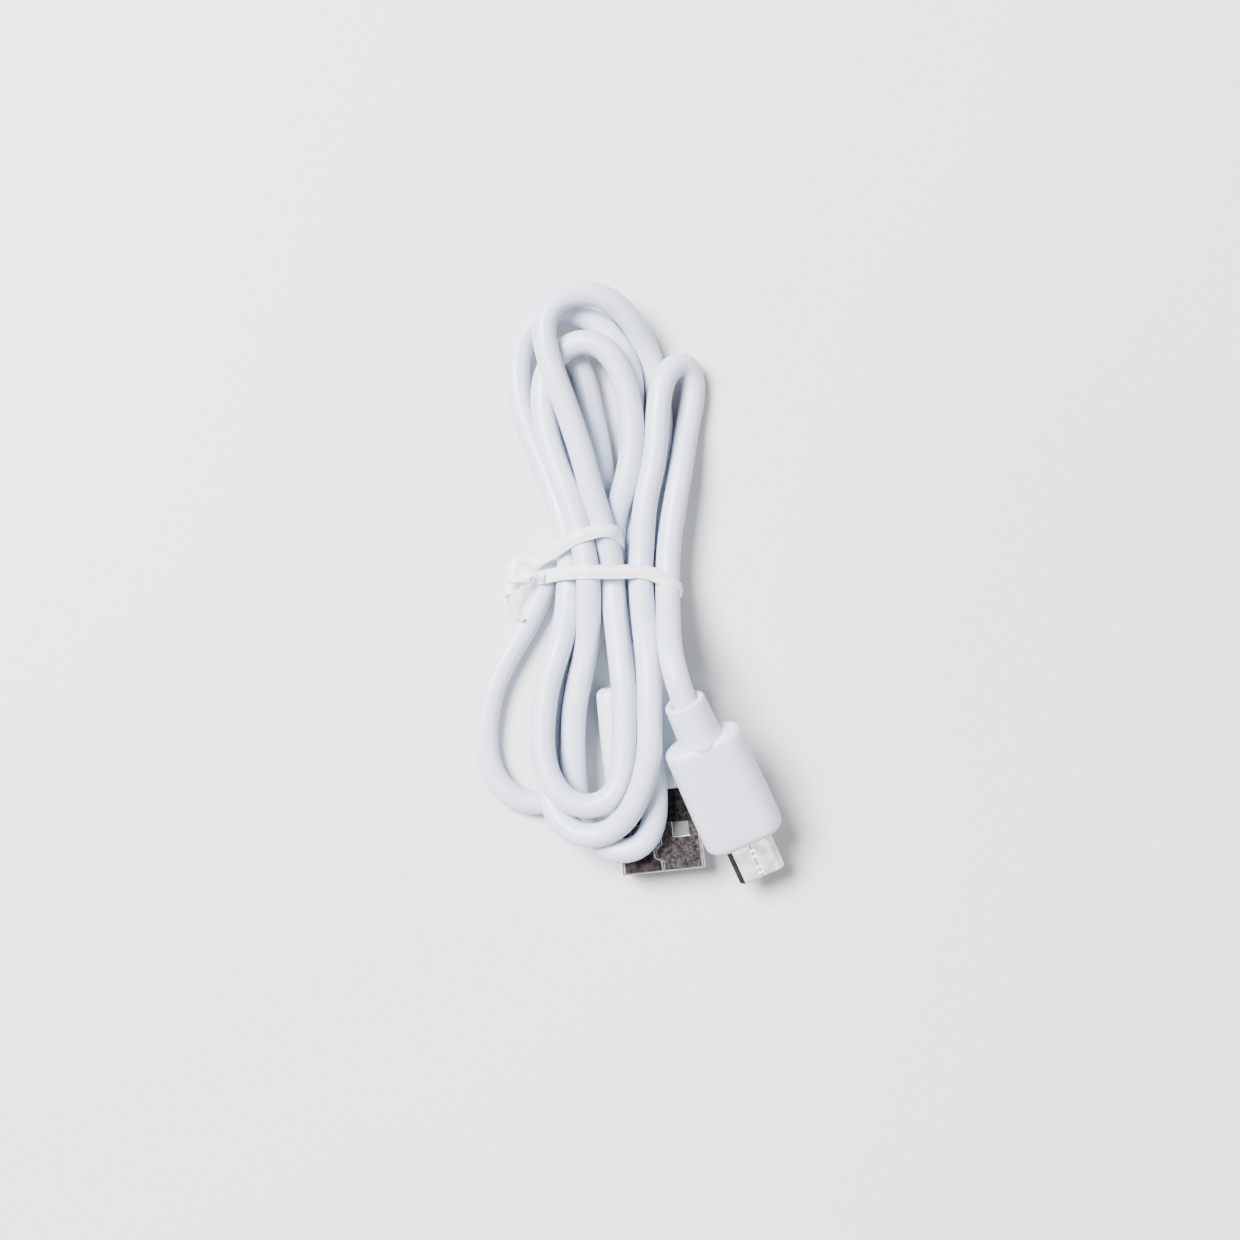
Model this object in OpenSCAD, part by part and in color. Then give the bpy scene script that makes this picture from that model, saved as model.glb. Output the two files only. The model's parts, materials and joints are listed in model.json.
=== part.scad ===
// Charging cable with a large flat plug and a small five-contact plug,
// folded into a hank and held by a twist tie.
// The large plug lies flat with its mouth towards -Y. Origin: centre of its underside.

/* [Large plug] */
// Width of the metal shell
a_shell_w = 12; // [11.9:0.05:12.1]
// Height of the metal shell
a_shell_h = 4.5; // [4.4:0.05:4.6]
// Length of shell in front of the grip
a_shell_out = 11.7; // [11.5:0.1:12.5]
// Length of shell inside the grip
a_shell_in = 6.9; // [6.5:0.1:7.2]
// Thickness of the shell's sheet
a_sheet = 0.3; // [0.25:0.01:0.35]
// Width of the moulded grip
a_grip_w = 14; // [13.5:0.1:16]
// Height of the moulded grip
a_grip_h = 7.6; // [7.4:0.1:8.2]
// Length of the moulded grip
a_grip_l = 15.1; // [15:0.1:17]
// Thickness of the insulator tongue
a_tongue_h = 1.84; // [1.8:0.02:1.9]

/* [Small plug] */
// Width of the metal shell at its wide side
b_shell_w = 6.85; // [6.8:0.05:6.9]
// Width of the metal shell at its narrow side
b_shell_top = 5.4; // [5.2:0.1:5.6]
// Height of the metal shell
b_shell_h = 1.85; // [1.8:0.05:1.9]
// Length of shell in front of the grip
b_shell_out = 6.2; // [5.8:0.1:6.6]
// Length of shell inside the grip
b_shell_in = 3.5; // [3.2:0.1:3.8]
// Thickness of the shell's sheet
b_sheet = 0.25; // [0.22:0.01:0.27]
// Width of the grip where the shell comes out
b_grip_front = 11.6; // [11.2:0.1:11.8]
// Width of the grip at the cord
b_grip_rear = 11.2; // [10.8:0.1:11.4]
// Height of the grip
b_grip_h = 6.6; // [6.4:0.1:7]
// Length of the grip
b_grip_l = 17; // [16.8:0.1:17.4]
// Angle of the small plug to the large one, seen from above
b_yaw = 18.5; // [17:0.5:20]
// Nose-down tilt of the small plug
b_pitch = 20; // [19:0.5:21]
// Sideways lean of the small plug
b_roll = -2; // [-4:0.5:2]
// How far a latch hook stands out of the shell
latch_out = 0.35; // [0.3:0.01:0.4]

/* [Cord and sleeves] */
// Diameter of the round cord
cord_d = 3.5; // [3.4:0.05:3.6]
// Diameter of the sleeve behind each grip
sleeve_d = 6.2; // [5.8:0.1:6.4]
// Length of the sleeve behind each grip
sleeve_l = 6.2; // [6:0.1:6.6]
// Diameter of one insulated wire
wire_d = 0.6; // [0.55:0.01:0.62]

/* [Hank and tie] */
// Height of the hank beside the large plug
hank_h = 10.4; // [9.6:0.2:11]
// Height of the hank where it lies over the large plug
hank_over_h = 14.6; // [13:0.2:15]
// Width of the twist tie's ribbon
tie_w = 2; // [1.8:0.1:2.2]
// Thickness of the twist tie's ribbon
tie_t = 0.5; // [0.4:0.05:0.6]

/* [Hidden] */
$fn = 48;
gap = 0.05;                 // assembly gap between moulded and stamped pieces
eps = 0.01;

// Large plug: places along Y from the mouth to the cord, and its axis height
a_mouth = -16.5;
a_grip_y = a_mouth + a_shell_out;
a_shell_end = a_grip_y + a_shell_in;
a_rear = a_grip_y + a_grip_l;
a_z = a_grip_h / 2;
a_in_h = a_shell_h - 2 * a_sheet;
a_in_w = a_shell_w - 2 * a_sheet;
a_tongue_z = a_z + a_in_h / 2 - gap - a_tongue_h;   // contact side of the tongue
a_contact_x = [-3.5, -1, 1, 3.5];
a_contact_start = [1.3, 2.3, 2.3, 1.3];             // outer pair reaches further forward
a_contact_w = 1;
a_contact_t = 0.25;
a_tail_end = 4.6;
a_mould_w = 11;
a_mould_h = 5.4;
a_mould_end = a_rear - 1;
a_crimp_y = 6.6;
crimp_l = 2.2;
crimp_t = 0.3;

// Small plug: local places along +Y from the mouth to the cord
b_grip_y = b_shell_out;
b_shell_end = b_shell_out + b_shell_in;
b_rear = b_grip_y + b_grip_l;
b_in_h = b_shell_h - 2 * b_sheet;
b_in_bottom = -b_in_h / 2;
b_tongue_w = 3.8;
b_tongue_top = -0.12;
b_contact_x = [-1.3, -0.65, 0, 0.65, 1.3];
b_contact_w = 0.3;
b_contact_t = 0.14;
b_tail_end = 11.4;
b_mould_w = 7.6;
b_mould_h = 4.8;
b_mould_end = b_rear - 1.2;
b_crimp_y = 16.4;
b_mouth_at = [13.9, -18.4, 5.3];

// Latches of the small plug
latch_x = 2.5;
latch_w = 0.6;
latch_t = 0.22;
latch_bottom = b_in_bottom + 0.06;
latch_hook_y = [1.3, 2.3];
latch_front = 1;
latch_root = 8.2;
latch_slot = 0.95;
latch_curl_d = 0.28;

// Cord ends: the stretches between each plug and the hank
cord_r = cord_d / 2;
bore_r = cord_r + gap;
wire_spot = 0.5;            // the four wires leave the cord at the corners of a square
end_a_route = [[0, 7, 3.8], [0, 12, 3.8], [0, 17.5, 3.8]];
function b_axis(y) = b_mouth_at
  + y * [-sin(b_yaw) * cos(b_pitch), cos(b_yaw) * cos(b_pitch), sin(b_pitch)];
end_b_route = [b_axis(b_crimp_y + 0.4), b_axis(b_rear), b_axis(b_rear + sleeve_l + 0.5),
  [4.5, 11, 15.8], [4, 13.5, 15], [4, 16, 13], [4, 18.5, 10.5], [4.5, 21.5, 8]];

// Hank: corners of its outline, which round ends of this radius grow outwards
hank_round = 4;
hank_outline = [[2.8, 26], [10, 50], [8.5, 53], [-3.5, 64], [-8.5, 61], [-11, 55], [-10, 27],
  [-17, 15], [-21.5, 5.5], [-19, -3], [-11, -7], [-5, -9.5], [-2.4, -5], [-2.4, 9], [1, 14]];
over_outline = [[-5, -9.5], [-2.4, -5], [-2.4, 9], [1, 14], [-2, 22], [-7, 14], [-8, -6]];

// Tie: place and lean of its band round the waist of the hank, its twist and its thin tail
tie_at = [-3.6, 26, 0];
tie_lean = -8;
tie_gap = [20.8, 8.6];      // width and height that the band holds together
tie_twist = [[-13.8, 27.4, 5], [-16.4, 27.4, 5]];
tie_twist_d = 3;
tie_tail = [-17, 21.5, 4.5];
tie_core_d = 0.4;

// Rounded rectangle from true arcs
module round_rect(w, h, r) {
  square([w - 2 * r, h], center = true);
  square([w, h - 2 * r], center = true);
  for (x = [-1, 1], y = [-1, 1])
    translate([x * (w / 2 - r), y * (h / 2 - r)]) circle(r);
}

// Profile in X and Z run along +Y from y0 to y1
module along_y(y0, y1) {
  translate([0, y1, 0]) rotate([90, 0, 0]) linear_extrude(y1 - y0) children();
}

// Block given by its ranges along X, Y and Z
module block(x, y, z) {
  translate([x[0], y[0], z[0]]) cube([x[1] - x[0], y[1] - y[0], z[1] - z[0]]);
}

// Round rod from one point to another
module rod(p, q, d) {
  v = q - p;
  l = norm(v);
  translate(p) rotate([0, acos(v[2] / l), atan2(v[1], v[0])]) cylinder(d = d, h = l);
}

// Open ring along Y, such as a crimped ferrule or a bored sleeve
module ring_y(y0, y1, r_out, r_in) {
  along_y(y0, y1) difference() {
    circle(r_out);
    circle(r_in);
  }
}

// Large plug
module at_a() {
  translate([0, 0, a_z]) children();
}

module a_seam() {
  // Dovetail seam of the folded sheet, on the upper face
  seam = 0.08;
  step_x = -1;
  for (y = [[a_mouth - 1, a_mouth + 1.6], [a_mouth + 5.2, a_mouth + 7.6]])
    block([-seam / 2, seam / 2], y, [0, 4]);
  block([step_x, step_x + seam], [a_mouth + 2.2, a_mouth + 4.6], [0, 4]);
}

module usb_a_shell() {
  window = [2.3, 2.1];
  window_x = 1.87;
  window_y = a_mouth + 4.8;
  color("silver") at_a() difference() {
    along_y(a_mouth, a_shell_end) difference() {
      round_rect(a_shell_w, a_shell_h, 0.6);
      square([a_in_w, a_in_h], center = true);
    }
    for (side = [-1, 1])
      translate([side * (window_x + window[0] / 2), window_y + window[1] / 2, 0])
        cube([window[0], window[1], 10], center = true);
    a_seam();
  }
}

module a_contact_bars(clear) {
  for (i = [0 : 3])
    block([a_contact_x[i] - a_contact_w / 2 - clear, a_contact_x[i] + a_contact_w / 2 + clear],
      [a_mouth + a_contact_start[i] - clear, a_tail_end + clear],
      [a_tongue_z - 0.06 - clear, a_tongue_z - 0.06 + a_contact_t + clear]);
}

module usb_a_contact_carrier() {
  tongue_w = a_in_w - 2 * gap;
  top = a_z + a_in_h / 2 - gap;
  block_y = a_grip_y + 0.4;
  color("gainsboro") difference() {
    union() {
      block([-tongue_w / 2, tongue_w / 2], [a_mouth + 0.5, block_y], [a_tongue_z, top]);
      block([-tongue_w / 2, tongue_w / 2], [block_y, a_shell_end], [a_z - a_in_h / 2 + gap, top]);
    }
    a_contact_bars(0);
  }
}

module usb_a_contacts() {
  color("gold") a_contact_bars(0);
}

module a_wire(i, to) {
  // Soldered to the end of a contact's tail, led to its place in the cord
  rod([a_contact_x[i], a_tail_end, a_tongue_z], [to[0], a_crimp_y + 0.2, a_z + to[1]], wire_d);
}

module usb_a_wire_red() { color("red") a_wire(3, [wire_spot, wire_spot]); }
module usb_a_wire_white() { color("white") a_wire(2, [wire_spot, -wire_spot]); }
module usb_a_wire_green() { color("green") a_wire(1, [-wire_spot, -wire_spot]); }
module usb_a_wire_black() { color("dimgray") a_wire(0, [-wire_spot, wire_spot]); }

module usb_a_crimp() {
  color("silver") at_a() ring_y(a_crimp_y, a_crimp_y + crimp_l, bore_r + crimp_t, bore_r);
}

module a_wiring_room() {
  // Room that the tails, wires and crimp fill inside the inner mould
  block([-4.2, 4.2], [a_shell_end - eps, a_tail_end + 0.2], [a_tongue_z - 1.2, a_tongue_z + 0.4]);
  at_a() along_y(a_tail_end, a_crimp_y) round_rect(8.4, 2.8, 0.6);
  at_a() along_y(a_crimp_y, a_crimp_y + crimp_l) circle(bore_r + crimp_t);
  at_a() along_y(a_crimp_y, a_rear + 1) circle(bore_r);
}

module usb_a_inner_mould() {
  color("whitesmoke") difference() {
    at_a() along_y(a_shell_end, a_mould_end) round_rect(a_mould_w, a_mould_h, 1);
    a_wiring_room();
  }
}

module usb_a_grip() {
  corner = 1.5;
  edge = 2.2;
  color("white") difference() {
    intersection() {
      at_a() along_y(a_grip_y, a_rear) round_rect(a_grip_w, a_grip_h, edge);
      translate([0, (a_grip_y + a_rear) / 2, -1]) linear_extrude(a_grip_h + 2)
        round_rect(a_grip_w, a_grip_l, corner);
    }
    at_a() along_y(a_grip_y - 1, a_shell_end) round_rect(a_shell_w, a_shell_h, 0.6);
    at_a() along_y(a_shell_end - eps, a_mould_end) round_rect(a_mould_w, a_mould_h, 1);
    at_a() along_y(a_mould_end - 1, a_rear + 1) circle(bore_r);
  }
}

module usb_a_sleeve() {
  color("white") at_a() translate([0, a_rear, 0]) rotate([-90, 0, 0]) sleeve();
}

module sleeve() {
  // Tapered sleeve with a rounded rim, bored for the cord
  rim = 0.5;
  end_r = sleeve_d / 2 - 0.2;
  difference() {
    union() {
      cylinder(r1 = sleeve_d / 2, r2 = end_r, h = sleeve_l - rim);
      translate([0, 0, sleeve_l - rim]) cylinder(r1 = end_r, r2 = end_r - rim, h = rim);
    }
    translate([0, 0, -1]) cylinder(r = bore_r, h = sleeve_l + 2);
  }
}

// Small plug, drawn with its mouth at the origin and its cord along +Y
module at_b() {
  translate(b_mouth_at) rotate([0, 0, b_yaw]) rotate([b_pitch, 0, 0]) rotate([0, b_roll, 0])
    children();
}

module b_outline(inset) {
  // Shell section: square corners on the wide lower side, chamfers on the narrow upper side
  w = b_shell_w / 2 - inset;
  top = b_shell_top / 2 - inset;
  h = b_shell_h / 2 - inset;
  polygon([[-w, -h], [w, -h], [w, 0.1], [top, h], [-top, h], [-w, 0.1]]);
}

module micro_shell() {
  seam = 0.06;
  step = 0.45;
  dovetail_y = [1.4, 3.8];
  color("silver") at_b() difference() {
    along_y(0, b_shell_end) difference() {
      b_outline(0);
      b_outline(b_sheet);
    }
    for (y = [[-1, dovetail_y[0]], [dovetail_y[1], b_shell_end + 1]])
      block([-seam / 2, seam / 2], y, [0, 2]);
    for (x = [-step, step]) block([x - seam / 2, x + seam / 2], dovetail_y, [0, 2]);
    for (side = [-1, 1])
      block([side * latch_x - latch_slot / 2, side * latch_x + latch_slot / 2],
        [latch_hook_y[0] - 0.3, latch_hook_y[1] + 0.35], [-2, 0]);
  }
}

module b_contact_bars() {
  for (x = b_contact_x)
    block([x - b_contact_w / 2, x + b_contact_w / 2], [0.8, b_tail_end],
      [b_tongue_top - b_contact_t + 0.04, b_tongue_top + 0.04]);
}

module micro_contact_carrier() {
  arm_room = latch_w / 2 + 0.12;
  color("dimgray") at_b() difference() {
    union() {
      block([-b_tongue_w / 2, b_tongue_w / 2], [0.5, b_grip_y], [b_in_bottom, b_tongue_top]);
      along_y(b_grip_y, b_shell_end) b_outline(b_sheet);
    }
    b_contact_bars();
    for (side = [-1, 1])
      block([side * latch_x - arm_room, side * latch_x + arm_room],
        [b_grip_y - 1, b_shell_end + 1], [-2, latch_bottom + latch_t + 0.45]);
  }
}

module micro_contacts() {
  color("gold") at_b() b_contact_bars();
}

module latch(side) {
  // Spring arm with a curled root and a sloped hook that stands out through the shell's slot
  translate([side * latch_x - latch_w / 2, latch_root, latch_bottom + latch_t / 2])
    rotate([0, 90, 0]) cylinder(d = latch_curl_d, h = latch_w);
  low = -b_shell_h / 2 - latch_out;
  translate([side * latch_x - latch_w / 2, 0, 0]) rotate([90, 0, 90]) linear_extrude(latch_w)
    polygon([[latch_front, latch_bottom + latch_t], [latch_front, latch_bottom],
      [latch_hook_y[0], latch_bottom], [latch_hook_y[1] - 0.25, low], [latch_hook_y[1], low],
      [latch_hook_y[1], latch_bottom], [latch_root, latch_bottom],
      [latch_root, latch_bottom + latch_t]]);
}

module micro_latch_left() { color("lightgray") at_b() latch(-1); }
module micro_latch_right() { color("lightgray") at_b() latch(1); }

module b_wire(i, to) {
  from = [b_contact_x[i], b_tail_end, b_tongue_top];
  at_b() rod(from, [to[0], b_crimp_y + 0.2, to[1]], wire_d);
}

module micro_wire_red() { color("red") b_wire(4, [wire_spot + 0.2, wire_spot]); }
module micro_wire_white() { color("white") b_wire(3, [wire_spot, -wire_spot]); }
module micro_wire_green() { color("green") b_wire(1, [-wire_spot, -wire_spot]); }
module micro_wire_black() { color("dimgray") b_wire(0, [-wire_spot - 0.2, wire_spot]); }

module micro_crimp() {
  color("silver") at_b() ring_y(b_crimp_y, b_crimp_y + crimp_l, bore_r + crimp_t, bore_r);
}

module micro_inner_mould() {
  color("whitesmoke") at_b() difference() {
    along_y(b_shell_end, b_mould_end) round_rect(b_mould_w, b_mould_h, 1);
    block([-3, 3], [b_shell_end - eps, b_crimp_y], [-1.3, 1.3]);
    along_y(b_crimp_y - eps, b_crimp_y + crimp_l) circle(bore_r + crimp_t);
    along_y(b_crimp_y, b_rear) circle(bore_r);
  }
}

module b_grip_plan() {
  // Widest near the mouth, with rounded front corners, a little narrower at the cord
  front = b_grip_front / 2;
  rear = b_grip_rear / 2;
  polygon([[-front + 1, b_grip_y], [front - 1, b_grip_y], [front - 0.35, b_grip_y + 0.5],
    [front, b_grip_y + 1.6], [front, b_grip_y + 4], [rear, b_rear - 1.2],
    [rear - 0.3, b_rear - 0.4], [rear - 1.1, b_rear], [-rear + 1.1, b_rear],
    [-rear + 0.3, b_rear - 0.4], [-rear, b_rear - 1.2], [-front, b_grip_y + 4],
    [-front, b_grip_y + 1.6], [-front + 0.35, b_grip_y + 0.5]]);
}

module micro_grip() {
  color("white") at_b() difference() {
    intersection() {
      along_y(b_grip_y, b_rear) round_rect(b_grip_front, b_grip_h, 3);
      translate([0, 0, -b_grip_h]) linear_extrude(2 * b_grip_h) b_grip_plan();
    }
    along_y(b_grip_y - 1, b_shell_end) b_outline(0);
    along_y(b_shell_end - eps, b_mould_end) round_rect(b_mould_w, b_mould_h, 1);
    along_y(b_mould_end - 1, b_rear + 1) circle(bore_r);
  }
}

module micro_sleeve() {
  color("white") at_b() translate([0, b_rear, 0]) rotate([-90, 0, 0]) sleeve();
}

// Cord: one eight-sided tube swept along a route
function side_of(t) = let (s = cross(t, [0, 0, 1])) s / norm(s);
function tangent(route, i) =
  let (v = route[min(i + 1, len(route) - 1)] - route[max(i - 1, 0)]) v / norm(v);
function ring_at(p, t, r, sides) =
  let (u = side_of(t), w = cross(u, t))
  [for (k = [0 : sides - 1]) p + r * (cos(360 * k / sides) * u + sin(360 * k / sides) * w)];

module tube(route, r, sides = 8) {
  n = len(route);
  points = [for (i = [0 : n - 1]) each ring_at(route[i], tangent(route, i), r, sides)];
  walls = [for (i = [0 : n - 2], k = [0 : sides - 1]) let (m = (k + 1) % sides)
    [i * sides + k, i * sides + m, (i + 1) * sides + m, (i + 1) * sides + k]];
  first = [[for (k = [sides - 1 : -1 : 0]) k]];
  last = [[for (k = [0 : sides - 1]) (n - 1) * sides + k]];
  polyhedron(points, concat(walls, first, last), convexity = 4);
}

module cord_end_usb_a() {
  color("white") tube(end_a_route, cord_r);
}

module cord_end_micro() {
  // Out of the small plug's sleeve, then down into the hank
  color("white") tube(end_b_route, cord_r);
}

module tie_room(grow, w) {
  // Space round the waist of the hank that the tie's band fills
  translate(tie_at) rotate([0, 0, tie_lean]) translate([0, 0, tie_t + tie_gap[1] / 2])
    along_y(-w / 2, w / 2) round_rect(tie_gap[0] + 2 * grow, tie_gap[1] + 2 * grow, 2.5);
}

module cord_hank() {
  color("white") difference() {
    union() {
      linear_extrude(hank_h) offset(r = hank_round, $fn = 32) polygon(hank_outline);
      linear_extrude(hank_over_h) offset(r = hank_round, $fn = 32) polygon(over_outline);
    }
    // The large plug and its sleeve lie in a pocket under the hank
    block([-a_grip_w / 2, a_grip_w / 2], [a_mouth - 3, a_rear + sleeve_l], [-1, a_grip_h + eps]);
    difference() {
      tie_room(20, tie_w);
      tie_room(0, tie_w + 2);
    }
  }
}

module tie_ribbon() {
  color("white") difference() {
    union() {
      difference() {
        tie_room(tie_t, tie_w);
        tie_room(0, tie_w + 2);
      }
      rod(tie_twist[0], tie_twist[1], tie_twist_d);
      rod(tie_twist[1], tie_tail, 2 * tie_core_d);
    }
    tie_core();
  }
}

module tie_core() {
  // Wire in the middle of the ribbon
  translate(tie_at) rotate([0, 0, tie_lean]) translate([0, 0, tie_t + tie_gap[1] / 2])
    along_y(-tie_core_d / 2, tie_core_d / 2) difference() {
      round_rect(tie_gap[0] + 1.4 * tie_t, tie_gap[1] + 1.4 * tie_t, 2.6);
      round_rect(tie_gap[0] + 0.6 * tie_t, tie_gap[1] + 0.6 * tie_t, 2.5);
    }
}

module tie_wire() {
  color("gray") tie_core();
}

usb_a_shell();
usb_a_contact_carrier();
usb_a_contacts();
usb_a_inner_mould();
usb_a_grip();
usb_a_sleeve();
usb_a_crimp();
usb_a_wire_red();
usb_a_wire_white();
usb_a_wire_green();
usb_a_wire_black();
micro_shell();
micro_contact_carrier();
micro_contacts();
micro_latch_left();
micro_latch_right();
micro_inner_mould();
micro_grip();
micro_sleeve();
micro_crimp();
micro_wire_red();
micro_wire_white();
micro_wire_green();
micro_wire_black();
cord_hank();
cord_end_usb_a();
cord_end_micro();
tie_ribbon();
tie_wire();
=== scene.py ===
"""White charging cable with two plugs, folded into a hank and held by a twist tie."""
import json
import math

import bmesh
import bpy
import numpy as np
from mathutils import Matrix, Vector


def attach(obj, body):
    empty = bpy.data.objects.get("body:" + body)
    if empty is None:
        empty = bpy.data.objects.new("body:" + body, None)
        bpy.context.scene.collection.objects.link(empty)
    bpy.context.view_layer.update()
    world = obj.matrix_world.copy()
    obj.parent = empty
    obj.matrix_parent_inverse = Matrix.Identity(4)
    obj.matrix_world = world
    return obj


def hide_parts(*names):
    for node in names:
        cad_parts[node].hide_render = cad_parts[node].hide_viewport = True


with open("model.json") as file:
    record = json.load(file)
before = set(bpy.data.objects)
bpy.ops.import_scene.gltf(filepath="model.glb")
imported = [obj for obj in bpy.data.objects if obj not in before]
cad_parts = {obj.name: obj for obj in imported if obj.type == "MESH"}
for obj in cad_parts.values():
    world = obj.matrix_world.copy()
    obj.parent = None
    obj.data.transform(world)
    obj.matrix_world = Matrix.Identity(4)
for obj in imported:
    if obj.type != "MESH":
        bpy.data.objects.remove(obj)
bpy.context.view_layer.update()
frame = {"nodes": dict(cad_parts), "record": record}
ROOT = "cable"
MM = 0.001

# ---------------------------------------------------------------- sizes, in millimetres
CORD_D = 3.5
CORD_R = CORD_D / 2

# Large plug: mouth towards -Y, axis at half the height of its grip
A_MOUTH, A_GRIP, A_REAR, A_SLEEVE_END = -16.5, -4.8, 10.3, 16.5
A_AXIS_Z = 3.8
A_SHELL = (12.0, 4.5)
A_GRIP_SIZE = (14.0, 7.6)
SHEET_A = 0.3

# Small plug, in its own space: mouth at the origin, cord along +Y, narrow side up
B_GRIP, B_REAR, B_SLEEVE_END = 6.2, 23.2, 29.4
B_SHELL = (6.85, 5.4, 1.85)
B_GRIP_FRONT, B_GRIP_REAR, B_GRIP_H = 11.6, 11.2, 6.6
SHEET_B = 0.25
B_YAW, B_PITCH, B_ROLL = 18.5, 20.0, -2.0
B_MOUTH = Vector((13.9, -18.4, 5.3))
B_TURN = (Matrix.Rotation(math.radians(B_YAW), 3, "Z")
          @ Matrix.Rotation(math.radians(B_PITCH), 3, "X")
          @ Matrix.Rotation(math.radians(B_ROLL), 3, "Y"))
B_PLACE = Matrix.Translation(B_MOUTH) @ B_TURN.to_4x4()

SLEEVE_R, SLEEVE_END_R = 3.1, 2.9

# Tie: middle of its band in plan, its lean, the ways across and along the bundle, the width and
# height inside the band, and the room that the band takes under the cord
TIE_AT = np.array([-3.6, 26.0])
TIE_LEAN = math.radians(-8)
TIE_ACROSS = np.array([math.cos(TIE_LEAN), math.sin(TIE_LEAN)])
TIE_ONWARD = np.array([-math.sin(TIE_LEAN), math.cos(TIE_LEAN)])
TIE_ROOM = (20.8, 8.6)
TIE_T = 0.5

# Camera: straight above the surface, turned a little so that the large plug leans
CAM_AT = (-2.40, 19.76)
CAM_H = 275.0
CAM_TURN = -6.14
CAM_LENS = 54.87
CAM_SENSOR = 36.0

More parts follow.
